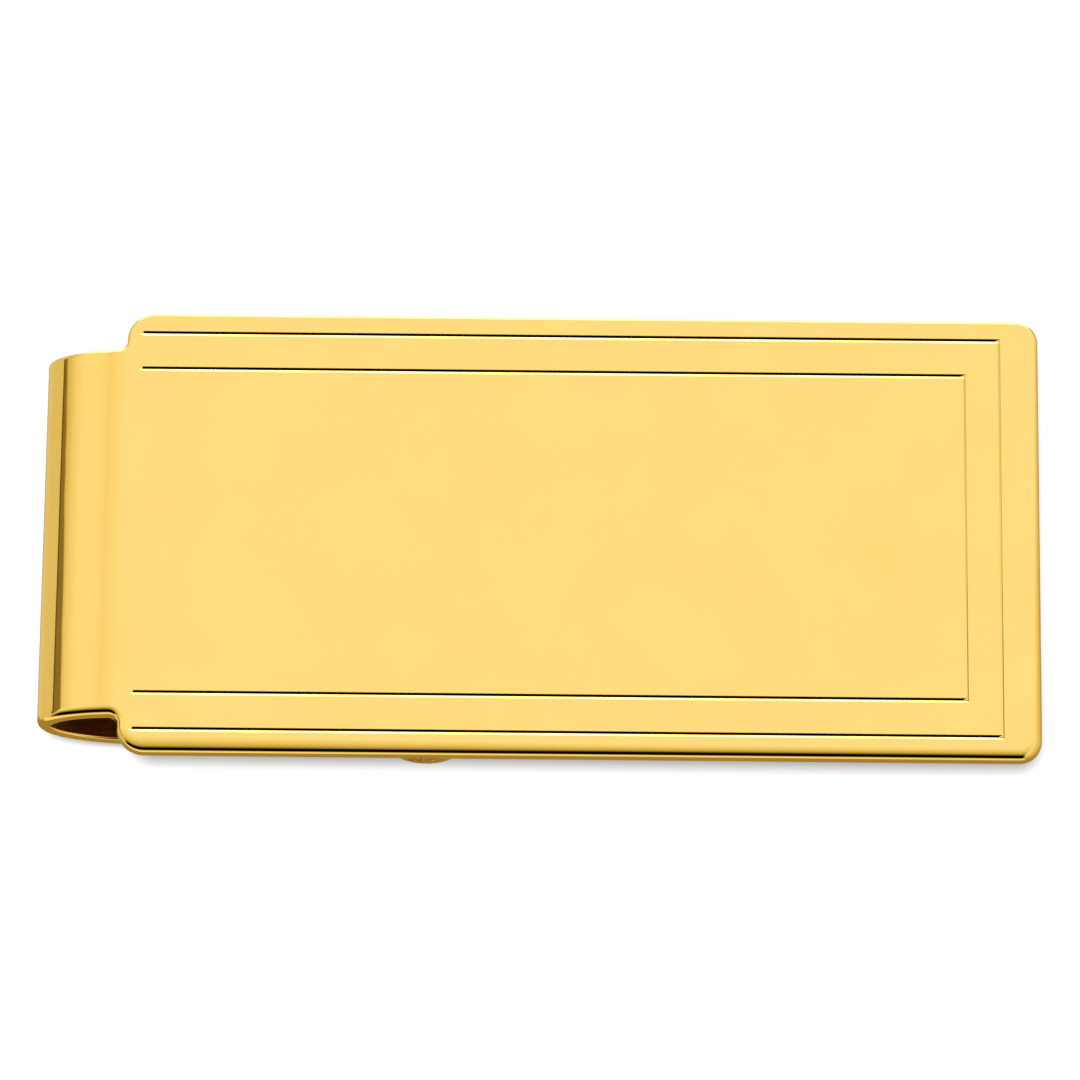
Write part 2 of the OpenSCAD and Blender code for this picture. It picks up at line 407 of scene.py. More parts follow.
def spring_strip():
    """The leaf spring, from its riveted foot to its free end just over the cam."""
    foot = INNER_START + SPRING_FOOT * STRAP_DIR
    hold = INNER_START + SPRING_HOLD * STRAP_DIR
    cam_top = HINGE + [0, CAM_FLAT + CAM_GAP]
    pulled = [hold + SPRING_PULLS[0] * STRAP_DIR, cam_top - [SPRING_PULLS[1], 0]]
    rise, d = cubic([hold, *pulled, cam_top + [SPRING_PAST, 0]], BEND_STEPS)
    outer = np.concatenate([[foot], rise])
    d = np.concatenate([[STRAP_DIR], d])
    inner = outer + SPRING_T * np.stack([-d[:, 1], d[:, 0]], 1)
    return Strip(outer, inner, d, d, SPRING_T)


# ---------------------------------------------------------------- the gold clip
# Section of an engraved long line: distance across it and depth, from its upper lip down.
# The short line at the free end is narrower and shallower.
LINE_HALF = 0.125
LINE_SECTION = [(LINE_HALF, 0.0), (0.012, 0.078), (-0.022, 0.042), (-LINE_HALF, 0.0)]
END_SECTION = [(0.062, 0.0), (0.0, 0.040), (-0.01, 0.036), (-0.062, 0.0)]
LINE_TAPER = 0.2
LINE_CORNER = 0.25                  # a long line's full depth stops this far from the corner
LINE_START = 0.65                   # from the plate's left end
OUTER_BORDER, INNER_BORDER = (1.18, 2.06), (3.24, 3.92)     # from the long edge, free end


def engraved_border(inset, right, start):
    """One border, open at the fold: the lines along its lips and its floor, in flat places."""
    y, taper = PLATE_HALF - inset, start - LINE_TAPER
    lines = []
    for (across, depth), (turned, end_depth) in zip(LINE_SECTION, END_SECTION):
        corner = right - turned
        if depth == 0:
            upper = [(start, y, 0.0), (taper, y + across, 0.0), (corner, y + across, 0.0)]
            lower = [(corner, -y - across, 0.0), (taper, -y - across, 0.0), (start, -y, 0.0)]
            lines.append(upper + lower)
            continue
        near = corner + LINE_CORNER
        upper = [(start, y, 0.0), (taper, y + across, depth), (near, y + across, depth)]
        lower = [(near, -y + across, depth), (taper, -y + across, depth), (start, -y, 0.0)]
        end = [(corner, y + across, end_depth), (corner, -y + across, end_depth)]
        lines.append(upper + end + lower)
    return lines


def cross_lines(strip, first, loop, low=0.0):
    """Bend lines across the sheet that start and end on points of the rim's loop."""
    at, lines = loop[1], []
    for s in strip.s[first:-1]:
        same = at[np.abs(at[:, 0] - s) < CLOSE]
        ys = np.sort(np.unique(np.round(same[:, 1], 6)))
        if len(ys) == 2:
            lines.append(((s, ys[0]), (s, ys[1])))
        elif len(ys) == 4:
            lines += [((s, ys[0]), (s, ys[1])), ((s, ys[2]), (s, ys[3]))]
        elif low:
            lines.append(((s, -low), (s, low)))
    return lines


LIP_R, ROOT_R, CROOK_R = 0.45, 0.45, 0.3    # a knuckle's two corners, and the notch's corner
TIP_BLEND, TIP_SHIFT = 1.9, 0.7             # where the edge is rounder, round the fold's tip
CLEAR = 0.01                                # keeps bend lines off the ends of the arcs
LINE_INSIDE = 1.3                           # from a free bend line's ends to the strap's edge


def clip_outline(strip):
    """The whole sheet in flat coordinates, with the rounding of its front edge all round."""
    bend, tip, end = strip.s[1], strip.s[BEND_STEPS], strip.length()
    notch = strip.s_at_x(NOTCH_X, slice(2 * BEND_STEPS, 2 * BEND_STEPS + 3))
    stations = strip.s[(strip.s > bend + SHOULDER_R + CLEAR) & (strip.s < end - LIP_R - CLEAR)]
    near_tip = np.exp(-((stations - tip + TIP_SHIFT) / TIP_BLEND) ** 2)
    tip_radius = EDGE_R + (TIP_EDGE_R - EDGE_R) * near_tip
    on_front = np.clip((tip + 3 - stations) / 3, 0, 1)
    in_notch = (stations > notch + CROOK_R + CLEAR) & (stations < end - ROOT_R - CLEAR)
    long_edge = np.linspace(FREE_CORNER, bend - FOLD_CORNER, 14)[1:-1]
    buffed = np.interp(long_edge, [BUFFED_FROM, BUFFED_TO], [SOFT_FREE, SOFT_FOLD])
    fold_corner = arc([bend - FOLD_CORNER, PLATE_HALF - FOLD_CORNER], FOLD_CORNER, 90, 0, 19)
    crook = arc([bend + SHOULDER_R, STRAP_HALF + SHOULDER_R], SHOULDER_R, 180, 270, 9)
    return outline_of([
        (arc([FREE_CORNER, PLATE_HALF - FREE_CORNER], FREE_CORNER, 180, 90, 17), EDGE_R, SOFT_FREE),
        (straight([[s, PLATE_HALF] for s in long_edge], [0, 1]), EDGE_R, buffed),
        (fold_corner, EDGE_R, np.linspace(SOFT_FOLD, SOFT_CROOK, 19)),
        (flipped(crook), EDGE_R, SOFT_CROOK),
        (straight([[s, STRAP_HALF] for s in stations], [0, 1]), tip_radius,
         SOFT_EDGE + (SOFT_CROOK - SOFT_EDGE) * on_front),
        (arc([end - LIP_R, STRAP_HALF - LIP_R], LIP_R, 90, 0, 7), EDGE_R, SOFT_EDGE),
        (arc([end - ROOT_R, NOTCH_HALF + ROOT_R], ROOT_R, 0, -90, 7), EDGE_R, SOFT_EDGE),
        (straight([[s, NOTCH_HALF] for s in stations[in_notch][::-1]], [0, -1]), EDGE_R, SOFT_EDGE),
        (flipped(arc([notch + CROOK_R, NOTCH_HALF - CROOK_R], CROOK_R, 90, 180, 7)),
         EDGE_R, SOFT_EDGE),
    ])


def make_clip(mats):
    """The folded sheet; its far long edge is sharper and less buffed than its near one."""
    strip = clip_strip()
    builder = Builder(strip.place)
    outline, out, radius, soft = clip_outline(strip)
    far_side = outline[:, 1] > 0
    soft = np.where(far_side, np.minimum(soft, SOFT_EDGE), soft)
    radius = np.where(far_side, radius - EDGE_R + EDGE_TOP_R, radius)
    front, back = rings(builder, outline, out, radius, soft, BACK_R, SHEET, 1)
    start = strip.s[1] - LINE_START
    borders = [engraved_border(*border, start) for border in (OUTER_BORDER, INNER_BORDER)]
    inside = STRAP_HALF - LINE_INSIDE
    fill(builder, front, 0.0, 1, cross_lines(strip, 1, front, inside), borders)
    fill(builder, back, SHEET, -1, cross_lines(strip, 1, back, inside), mat=2)
    return builder.finish("gold_clip", mats)


# ---------------------------------------------------------------- lever, spring, pin, rivets
LEVER_EAR_R, LEVER_ROOT_R = 0.6, 0.4        # outside and inside the step to the hub
LEVER_ARC_TRIM = 2                          # degrees left off the arcs next to a long edge
LEVER_HUB_TRIM = 0.3                        # keeps the arm's end inside the hub
LEVER_LINE_GAP = 0.3                        # from a bend line's ends to the rim's loop
SPRING_CORNER, SPRING_RIM, SPRING_SOFT = 0.6, 0.08, 0.05
PIN_SEAT_GAP = 0.01
HUB_EAR, HUB_EAR_R = (1.35, 0.9), 0.35      # the hub's corner on the arm's side, from the hinge
HUB_BEVEL = 0.12


def make_lever(mats):
    """The lever's arm, from the hub to the finger tip."""
    strip = lever_strip()
    builder = Builder(strip.place)
    shoulder, end = strip.s_at_x(LEVER_SHOULDER_X), strip.length()
    centre = [end - LEVER_CORNER, LEVER_TIP_HALF - LEVER_CORNER]
    corner, corner_out = arc(centre, LEVER_CORNER, 90 - LEVER_ARC_TRIM, 0, 25)
    ear, root = LEVER_EAR_R, LEVER_ROOT_R
    first, first_out = arc([shoulder + ear, LEVER_HALF - ear], ear, 180, 90 + LEVER_ARC_TRIM, 7)
    crook = arc([shoulder - root, HUB_HALF + root], root, -90, 0, 6)
    stations = strip.s[(strip.s > shoulder + ear + 0.02) & (strip.s < centre[0] + 0.1)]
    a, b = first[-1], corner[0]
    edge = [[s, a[1] + (b[1] - a[1]) * (s - a[0]) / (b[0] - a[0])] for s in stations]
    outline, out, radius, soft = outline_of([
        (straight([[0.0, HUB_HALF - LEVER_HUB_TRIM]], [0, 1]), EDGE_R, SOFT_EDGE),
        (flipped(crook), EDGE_R, SOFT_EDGE), ((first, first_out), EDGE_R, SOFT_EDGE),
        (straight(edge, unit([a[1] - b[1], b[0] - a[0]])), EDGE_R, SOFT_EDGE),
        ((corner, corner_out), EDGE_R, SOFT_EDGE),
    ])
    front, back = rings(builder, outline, out, radius, soft, BACK_R, SHEET, 1)

    def crossing(loop):
        near_side = np.array(sorted(loop[1][loop[1][:, 1] > 0.5].tolist())).T
        stations = [s for s in strip.s[1:-1] if s < end - 0.5]
        halves = [np.interp(s, *near_side) - LEVER_LINE_GAP for s in stations]
        return [((s, -half), (s, half)) for s, half in zip(stations, halves)]

    fill(builder, front, 0.0, 1, crossing(front))
    fill(builder, back, SHEET, -1, crossing(back), mat=2)
    return builder.finish("lever_sheet", mats)


def prism(name, profile, out, half, bevel, mats):
    """A bar along Y with a round-edged profile given in the X-Z plane."""
    def place(u, v, depth, n):
        return (u, half - depth, v), unit((n[0], n[2], n[1]))

    builder = Builder(place)
    front, back = rings(builder, profile, out, bevel, 0.04, bevel, 2 * half, 0)
    fill(builder, front, 0.0, 1)
    fill(builder, back, 2 * half, -1)
    return builder.finish(name, mats)


def make_hub(mats):
    """The lever's knuckle: a cam, flat above and on the strap's side, and round below."""
    span = math.degrees(math.acos(CAM_FLAT / CAM_CORNER))
    heel = math.degrees(math.acos(CAM_FLAT / KNUCKLE_R))
    parts = [arc(HINGE, CAM_CORNER, 90 + span, 180 - span, 7),
             arc(HINGE, KNUCKLE_R, 180 + heel, 360, 32),
             arc(HINGE + HUB_EAR, HUB_EAR_R, 0, 90, 5)]
    pts, out = (np.concatenate(column) for column in zip(*parts))
    return prism("lever_knuckle", pts, out, HUB_HALF, HUB_BEVEL, mats)


def lathe(name, profile, axis_point, axis, mats, sides=64, dents=0.0):
    """A turned part; profile holds radius and height pairs along the axis, dents the unevenness."""
    axis = Vector(axis).normalized()
    turn = axis.to_track_quat("Z", "Y").to_matrix()
    base = np.array(axis_point)
    waves = np.random.default_rng(7).uniform(0, 2 * math.pi, 6)
    verts, faces, flat = [], [], []
    for k, (r, h) in enumerate(profile):
        for i in range(sides):
            a = 2 * math.pi * i / sides
            uneven = math.sin(3 * a + waves[0] + k) + 0.6 * math.sin(5 * a + waves[1] - 2 * k)
            wobble = dents * r * uneven
            p = turn @ Vector(((r + wobble) * math.cos(a), (r + wobble) * math.sin(a), h))
            verts.append(tuple(base + np.array(p)))
            flat.append((r * a, h, r))
    rows = len(profile)
    for k in range(rows - 1):
        for i in range(sides):
            j = (i + 1) % sides
            faces.append((k * sides + i, k * sides + j, (k + 1) * sides + j, (k + 1) * sides + i))
    faces.append(tuple(range(sides))[::-1])
    faces.append(tuple((rows - 1) * sides + i for i in range(sides)))
    return new_object(name, verts, faces, flat, mats)


def dome(radius, height, base_h, sign, steps=9):
    """Profile of a hammered head, from its rim to its crown."""
    rows = []
    for t in np.linspace(0, 1, steps):
        a = t * math.pi / 2
        rows.append((radius * math.cos(a) ** DOME_POWER + RIM_TRIM * (1 - t),
                     base_h + sign * height * math.sin(a)))
    return rows


def make_pin(mats):
    """The hinge pin, with a hammered head at both ends."""
    seat = STRAP_HALF + PIN_SEAT_GAP
    height = PIN_END_Y - seat
    up = dome(PIN_HEAD_R - RIM_TRIM, height, seat, 1)
    profile = [(r, -h) for r, h in up[::-1]] + [(PIN_R, -seat), (PIN_R, seat)] + up
    profile = [(max(r, 0.05), h) for r, h in profile]
    return lathe("hinge_pin_gold", profile, (HINGE_X, 0, HINGE_Z), (0, 1, 0), mats, dents=0.08)


def make_rivets(mats):
    """The two rivets that hold the spring to the strap."""
    seat = STRAP_START + RIVET_S * STRAP_DIR
    axis = (STRAP_UP[0], 0, STRAP_UP[1])
    up = dome(RIVET_HEAD_R - RIM_TRIM, RIVET_HEAD_H, SHEET + SPRING_T, 1)
    down = dome(RIVET_HEAD_R - RIM_TRIM, RIVET_HEAD_H, 0.0, -1)[::-1]
    profile = [(max(r, 0.04), h) for r, h in down + up]
    return [lathe(name, profile, (seat[0], y, seat[1]), axis, mats, 48)
            for name, y in (("rivet_left", -RIVET_Y), ("rivet_right", RIVET_Y))]


def make_spring(mats):
    """The leaf spring."""
    strip = spring_strip()
    builder = Builder(strip.place)
    end, r = strip.length(), SPRING_CORNER
    stations = strip.s[1:-1]
    stations = stations[(stations > r) & (stations < end - r)]
    outline, out, radius, soft = outline_of([
        (arc([r, SPRING_HALF - r], r, 180, 90, 7), SPRING_RIM, SPRING_SOFT),
        (straight([[s, SPRING_HALF] for s in stations], [0, 1]), SPRING_RIM, SPRING_SOFT),
        (arc([end - r, SPRING_HALF - r], r, 90, 0, 7), SPRING_RIM, SPRING_SOFT),
    ])
    front, back = rings(builder, outline, out, radius, soft, SPRING_RIM, SPRING_T, 0)
    fill(builder, front, 0.0, 1, cross_lines(strip, 1, front))
    fill(builder, back, SPRING_T, -1, cross_lines(strip, 1, back))
    return builder.finish("spring_leaf", mats)


# ---------------------------------------------------------------- materials
MIX_A, MIX_B, MIX_COLOUR = 6, 7, 2          # a colour Mix node's sockets
GOLD = (1.0, 0.716, 0.215, 1)
GOLD_POLISHED = (1.0, 0.722, 0.222, 1), (1.0, 0.708, 0.208, 1)
# Darker gold for the inner faces: painted shade, on a satin finish.
GOLD_SATIN_SHADED = (0.80, 0.47, 0.12, 1), (0.95, 0.62, 0.17, 1)
# Deeper gold for the cut edges, under their shear lines: painted shade.
GOLD_EDGE_SHADE = (0.93, 0.62, 0.16, 1)
# Dark gold for the low parts of the hammered heads' pits: painted shade.
GOLD_PIT_SHADE = (0.50, 0.30, 0.06, 1)
STEEL = (0.46, 0.44, 0.40, 1), (0.56, 0.54, 0.50, 1)


class Nodes:
    """A short way to write a metal's node tree."""

    def __init__(self, name):
        self.material = bpy.data.materials.new(name)
        self.material.use_nodes = True
        self.tree = self.material.node_tree
        self.shader = self.tree.nodes["Principled BSDF"]
        self.shader.inputs["Metallic"].default_value = 1.0

    def add(self, kind, **settings):
        node = self.tree.nodes.new("ShaderNode" + kind)
        for key, value in settings.items():
            setattr(node, key, value)
        return node

    def link(self, a, b):
        self.tree.links.new(a, b)

    def flat(self, scale):
        """The sheet's own flat coordinates in millimetres, stretched by scale."""
        source = self.add("Attribute", attribute_name="flat")
        mapping = self.add("Mapping")
        mapping.inputs["Scale"].default_value = scale
        self.link(source.outputs["Vector"], mapping.inputs["Vector"])
        return mapping.outputs["Vector"]

    def noise(self, vector, scale, detail=2.0, rough=0.5):
        node = self.add("TexNoise")
        node.inputs["Scale"].default_value = scale
        node.inputs["Detail"].default_value = detail
        node.inputs["Roughness"].default_value = rough
        self.link(vector, node.inputs["Vector"])
        return node.outputs["Fac"]

    def ramp(self, value, low, high, to_low, to_high):
        node = self.add("MapRange")
        for key, v in (("From Min", low), ("From Max", high), ("To Min", to_low), ("To Max", to_high)):
            node.inputs[key].default_value = v
        self.link(value, node.inputs["Value"])
        return node.outputs["Result"]

    def colour(self, pattern, a, b, low=0.3, high=0.7):
        """Base colour from a to b as the pattern goes from low to high."""
        node = self.add("Mix", data_type="RGBA")
        node.inputs[MIX_A].default_value = a
        node.inputs[MIX_B].default_value = b
        self.link(self.ramp(pattern, low, high, 0, 1), node.inputs[0])
        self.link(node.outputs[MIX_COLOUR], self.shader.inputs["Base Color"])

    def roughness(self, pattern, high, smooth, rough):
        """Roughness from smooth to rough as the pattern goes from 0.3 to high."""
        self.link(self.ramp(pattern, 0.3, high, smooth, rough), self.shader.inputs["Roughness"])

    def bump(self, height, strength, distance, normal=None):
        node = self.add("Bump")
        node.inputs["Strength"].default_value = strength
        node.inputs["Distance"].default_value = distance * MM
        self.link(height, node.inputs["Height"])
        if normal is not None:
            self.link(normal, node.inputs["Normal"])
        return node.outputs["Normal"]

    def finish(self, normal):
        self.link(normal, self.shader.inputs["Normal"])
        return self.material


def polished_gold():
    """Near-mirror gold with a faint grain along the sheet and a slow wave."""
    n = Nodes("polished_gold")
    even = n.flat((1, 1, 1))
    cloud = n.noise(even, 0.18, 3.0)
    grain = n.noise(n.flat((0.25, 9, 4)), 1.6, 4.0, 0.6)
    n.colour(cloud, *GOLD_POLISHED)
    n.roughness(grain, 0.75, 0.035, 0.06)
    wave = n.bump(n.noise(even, 0.22, 1.0), 1.0, 0.012)
    return n.finish(n.bump(grain, 0.4, 0.0006, wave))


def sheared_gold_painted_shade():
    """The cut edge of the sheet: fine lines along it left by shearing and polishing, on a deeper gold
    that is painted shade.
    """
    n = Nodes("sheared_gold_painted_shade")
    lines = n.noise(n.flat((0.35, 0.6, 14)), 2.2, 5.0, 0.65)
    cloud = n.noise(n.flat((1, 1, 1)), 0.7, 2.0)
    n.colour(lines, GOLD_EDGE_SHADE, GOLD)
    n.roughness(cloud, 0.7, 0.16, 0.3)
    return n.finish(n.bump(lines, 0.6, 0.012))


def satin_gold_painted_shade():
    """The sheet's inner face, which the polishing mop doesn't reach: rougher than the front, in a
    darker gold that is painted shade.
    """
    n = Nodes("satin_gold_painted_shade")
    grain = n.noise(n.flat((0.5, 6, 1)), 1.4, 4.0, 0.6)
    cloud = n.noise(n.flat((1, 1, 1)), 0.35, 2.0)
    n.colour(cloud, *GOLD_SATIN_SHADED)
    n.roughness(grain, 0.75, 0.14, 0.26)
    return n.finish(n.bump(grain, 0.5, 0.003))


def hammered_gold():
    """The pin's and the rivets' beaten heads, with painted shade in their pits."""
    n = Nodes("hammered_gold")
    coords = n.add("TexCoord").outputs["Object"]
    pits = n.noise(coords, 4200, 3.0, 0.6)
    dents = n.noise(coords, 900, 1.0)
    # the pits' low parts get the painted shade
    n.colour(pits, GOLD_PIT_SHADE, GOLD, 0.42, 0.58)
    n.roughness(pits, 0.7, 0.12, 0.34)
    return n.finish(n.bump(pits, 1.0, 0.12, n.bump(dents, 1.0, 0.5)))


def brushed_steel():
    """The leaf spring's steel, with fine lines along it."""
    n = Nodes("brushed_steel")
    lines = n.noise(n.flat((0.3, 12, 4)), 2.5, 4.0, 0.65)
    n.colour(lines, *STEEL)
    n.roughness(lines, 0.7, 0.22, 0.36)
    return n.finish(n.bump(lines, 0.5, 0.006))


# ---------------------------------------------------------------- number and colour nodes
RAMP_SCALE = 4.0                            # world colours go up to this; ramps stop at 1


class Graph:
    """A short way to write numbers and the world's colours into any node tree."""

    def __init__(self, tree):
        self.tree = tree

    def feed(self, node, index, value):
        if isinstance(value, (int, float)):
            node.inputs[index].default_value = value
        else:
            self.tree.links.new(value, node.inputs[index])

    def math(self, operation, a, b=0.0):
        node = self.tree.nodes.new("ShaderNodeMath")
        node.operation = operation
        self.feed(node, 0, a)
        self.feed(node, 1, b)
        return node.outputs[0]

    def step(self, value, low, high):
        """Rises smoothly from 0 at low to 1 at high; low may be the larger."""
        node = self.tree.nodes.new("ShaderNodeMapRange")
        node.interpolation_type = "SMOOTHSTEP"
        self.feed(node, 0, value)
        limits = (high, low, 1.0, 0.0) if low > high else (low, high, 0.0, 1.0)
        for key, v in zip(("From Min", "From Max", "To Min", "To Max"), limits):
            node.inputs[key].default_value = v
        return node.outputs["Result"]

    def times(self, *values):
        """The product of two or more values."""
        product = values[-1]
        for value in values[-2::-1]:
            product = self.math("MULTIPLY", value, product)
        return product

    def ramp(self, degrees, stops):
        """A colour by an angle from -180 to 180 degrees, in RAMP_SCALE's units."""
        node = self.tree.nodes.new("ShaderNodeValToRGB")
        elements = node.color_ramp.elements
        while len(elements) > 1:
            elements.remove(elements[-1])
        for k, (angle, colour) in enumerate(stops):
            place = (angle + 180) / 360
            e = elements[0] if k == 0 else elements.new(place)
            e.position = place
            e.color = tuple(c / RAMP_SCALE for c in colour) + (1,)
        self.feed(node, 0, self.math("ADD", self.math("DIVIDE", degrees, 360.0), 0.5))
        return node.outputs["Color"]

    def mix(self, factor, a, b):
        node = self.tree.nodes.new("ShaderNodeMix")
        node.data_type = "RGBA"
        self.feed(node, 0, factor)
        for index, value in ((MIX_A, a), (MIX_B, b)):
            if isinstance(value, tuple):
                node.inputs[index].default_value = tuple(c / RAMP_SCALE for c in value) + (1,)
            else:
                self.tree.links.new(value, node.inputs[index])
        return node.outputs[MIX_COLOUR]

    def angle(self, a, b):
        """The angle of a over b, in degrees."""
        return self.math("MULTIPLY", self.math("ARCTAN2", a, b), 180 / math.pi)


# ---------------------------------------------------------------- camera
CAM_ELEVATION = 68.0                        # degrees, like the next two
CAM_AZIMUTH = -0.353
CAM_ROLL = 0.2355
CAM_DISTANCE = 450.8
FOCAL_PX, FRAME_PX = 8500.0, 1080.0
AIM_RIGHT_PX, AIM_UP_PX = -0.27, -7.0       # the picture's centre, from the front face's origin
SENSOR = 36.0
CAM_CLIP = 0.01, 20                         # metres


def make_camera():
    """Looks down at the plate from its -Y side, with a long lens."""
    e, a, r = (math.radians(v) for v in (CAM_ELEVATION, CAM_AZIMUTH, CAM_ROLL))
    forward = Vector((math.sin(a) * math.cos(e), math.cos(a) * math.cos(e), -math.sin(e)))
    right = Vector((math.cos(a), -math.sin(a), 0))
    up = right.cross(forward)
    right, up = right * math.cos(r) + up * math.sin(r), up * math.cos(r) - right * math.sin(r)
    target = Vector((0, 0, FRONT_Z * MM))
    look = (forward + right * (AIM_RIGHT_PX / FOCAL_PX) + up * (AIM_UP_PX / FOCAL_PX)).normalized()
    across = look.cross(up).normalized()
    camera = bpy.data.cameras.new("camera")
    camera.sensor_width = SENSOR
    camera.lens = FOCAL_PX / FRAME_PX * SENSOR
    camera.clip_start, camera.clip_end = CAM_CLIP
    matrix = Matrix((across, across.cross(look), -look)).transposed().to_4x4()
    matrix.translation = target - forward * CAM_DISTANCE * MM
    obj = link_object("camera", camera)
    obj.matrix_world = matrix
    bpy.context.scene.camera = obj


# ---------------------------------------------------------------- floor, backdrop and key light
FLOOR_SIZE, FLOOR_Z = 2.8, -0.00005         # metres
FLOOR_GLOW = 0.36
FLOOR_ALBEDO = 0.12
FLOOR_FADE = 0.8
BACKDROP_SIDES = 64
BACKDROP_R, BACKDROP_LOW, BACKDROP_TOP = FLOOR_SIZE * 0.47, -0.3, 1.6   # metres

# The patches of floor that show the clip's shadow, in x and in y: under the plate, and
# under the fold.  They stop short of the plate's -Y edge, where the open lever is seen.
SHADOW_FAR_Y = PLATE_HALF + 4.0
SHADOW_PATCHES = [((TIP_X + 6.0, RIGHT_X + 0.6), (1.1 - PLATE_HALF, SHADOW_FAR_Y)),
                  ((TIP_X - 0.8, TIP_X + 8.0), (-STRAP_HALF - 1.8, SHADOW_FAR_Y))]

KEY_TILT, KEY_LEAN = 17.8, 2.2              # degrees from straight up, towards -Y and -X
KEY_ANGLE = 8.0
KEY_STRENGTH = 17.5


def near_clip(tree):
    """1 on the floor where the clip's shadow is seen, fading to 0 just outside it."""
    w = Graph(tree)
    split = tree.nodes.new("ShaderNodeSeparateXYZ")
    tree.links.new(tree.nodes.new("ShaderNodeNewGeometry").outputs["Position"], split.inputs[0])
    cover = []
    for patch in SHADOW_PATCHES:
        outside = []
        for axis, (low, high) in enumerate(patch):
            off = w.math("ABSOLUTE", w.math("SUBTRACT", split.outputs[axis], (low + high) / 2 * MM))
            outside.append(w.math("SUBTRACT", off, (high - low) / 2 * MM))
        cover.append(w.step(w.math("MAXIMUM", *outside), FLOOR_FADE * MM, 0.0))
    return w.math("MAXIMUM", *cover)


def paper(name, albedo, glow):
    """A material for white paper, and its shader."""
    m = bpy.data.materials.new(name)
    m.use_nodes = True
    shader = m.node_tree.nodes["Principled BSDF"]
    shader.inputs["Base Color"].default_value = (albedo,) * 3 + (1,)
    shader.inputs["Emission Color"].default_value = (1, 1, 1, 1)
    shader.inputs["Emission Strength"].default_value = glow
    return m, shader


def plain_object(name, verts, faces, material):
    me = bpy.data.meshes.new(name)
    me.from_pydata(verts, [], faces)
    me.materials.append(material)
    return link_object(name, me)


def make_floor():
    """Pale paper.  It fades out beyond the clip's shadow, so that a lever swung below the
    table stays in sight against the backdrop."""
    material, shader = paper("paper", FLOOR_ALBEDO, FLOOR_GLOW)
    shader.inputs["Roughness"].default_value = 1.0
    shader.inputs["Specular IOR Level"].default_value = 0.0
    material.node_tree.links.new(near_clip(material.node_tree), shader.inputs["Alpha"])
    h, z = FLOOR_SIZE / 2, FLOOR_Z
    corners = [(-h, -h, z), (h, -h, z), (h, h, z), (-h, h, z)]
    obj = plain_object("floor", corners, [(0, 1, 2, 3)], material)
    obj.visible_glossy = False


def make_backdrop():
    """A plain white wall and ground far round the floor, seen only by the camera."""
    count, turn = BACKDROP_SIDES, 2 * math.pi / BACKDROP_SIDES
    ring = [(BACKDROP_R * math.cos(turn * k), BACKDROP_R * math.sin(turn * k)) for k in range(count)]
    verts = [(x, y, z) for z in (BACKDROP_LOW, BACKDROP_TOP) for x, y in ring]
    faces = [(k, (k + 1) % count, count + (k + 1) % count, count + k) for k in range(count)]
    faces.append(tuple(range(count)))
    obj = plain_object("backdrop", verts, faces, paper("backdrop_paper", 0, 1.0)[0])
    for kind in ("diffuse", "glossy", "transmission", "volume_scatter", "shadow"):
        setattr(obj, "visible_" + kind, False)


def make_key():
    """A soft sun that casts the clip's shadow; the gold doesn't reflect it."""
    light = bpy.data.lights.new("key", "SUN")
    light.angle = math.radians(KEY_ANGLE)
    light.energy = KEY_STRENGTH
    obj = link_object("key", light)
    towards = Vector((-math.tan(math.radians(KEY_LEAN)), -math.tan(math.radians(KEY_TILT)), 1))
    obj.rotation_euler = towards.to_track_quat("Z", "Y").to_euler()
    obj.visible_glossy = False


# ---------------------------------------------------------------- world
# What the metal reflects.  ROLL is the studio's colour by the angle round the Y axis, from
# straight up towards -X; TILT is its colour by the angle round the X axis, from straight up
# towards +Y, and takes over for directions that lean far enough to the front or back.
GROUND = (0.376, 0.28, 0.10)
ROLL = [
    (-180, GROUND), (-130, (0.45, 0.38, 0.15)), (-90, (0.72, 0.60, 0.29)), (-50, (0.84, 0.77, 0.55)),
    (-20, (1, 1, 1)), (4, (1, 1, 1)), (10, (1, 0.96, 0.85)), (15, (0.98, 0.92, 0.77)),
    (20, (0.955, 0.88, 0.72)), (25, (0.99, 0.94, 0.83)), (34, (1, 0.98, 0.89)), (45, (1, 0.96, 0.85)),
    (50, (0.95, 0.90, 0.76)), (56, (0.88, 0.81, 0.60)), (61, (0.76, 0.69, 0.38)),
    (66, (0.68, 0.61, 0.30)), (75, (0.75, 0.68, 0.47)), (100, (0.75, 0.68, 0.47)),
    (130, (0.78, 0.72, 0.58)), (180, GROUND),
]
OLIVE, BLACK, FLOOR_LINE = (0.28, 0.22, 0.065), (0.002, 0.002, 0.002), (1.0, 0.93, 0.66)
TILT = [
    (-180, GROUND), (-134, GROUND), (-122, FLOOR_LINE), (-102, FLOOR_LINE), (-91, (0.5, 0.42, 0.2)),
    (-86, BLACK), (-45, BLACK), (-41, (0.20, 0.15, 0.04)), (-34, OLIVE), (-18, (0.60, 0.52, 0.23)),
    (-8, (0.745, 0.66, 0.32)), (0, (0.84, 0.77, 0.50)), (6, (0.90, 0.83, 0.62)),
    (12, (0.95, 0.89, 0.72)), (16, (0.98, 0.94, 0.82)), (20, (1, 0.98, 0.92)), (22.3, (1, 1, 1)),
    (40, (1.1,) * 3), (52, (1.5,) * 3), (62, (3.0,) * 3), (75, (3.6,) * 3), (97, (3.4,) * 3),
    (106, (0.9, 0.85, 0.7)), (180, GROUND),
]
# TILT takes over from ROLL as a direction's y or x passes from each pair's first value to its
# second: towards -Y and overhead, for a middle range of x, and far towards +Y.
FRONT_Y, FRONT_RIGHT, FRONT_LEFT = (0.345, 0.26), (0.45, 0.25), (-0.90, -0.80)
BACK_Y, BACK_X = (0.45, 0.75), (0.5, 0.3)

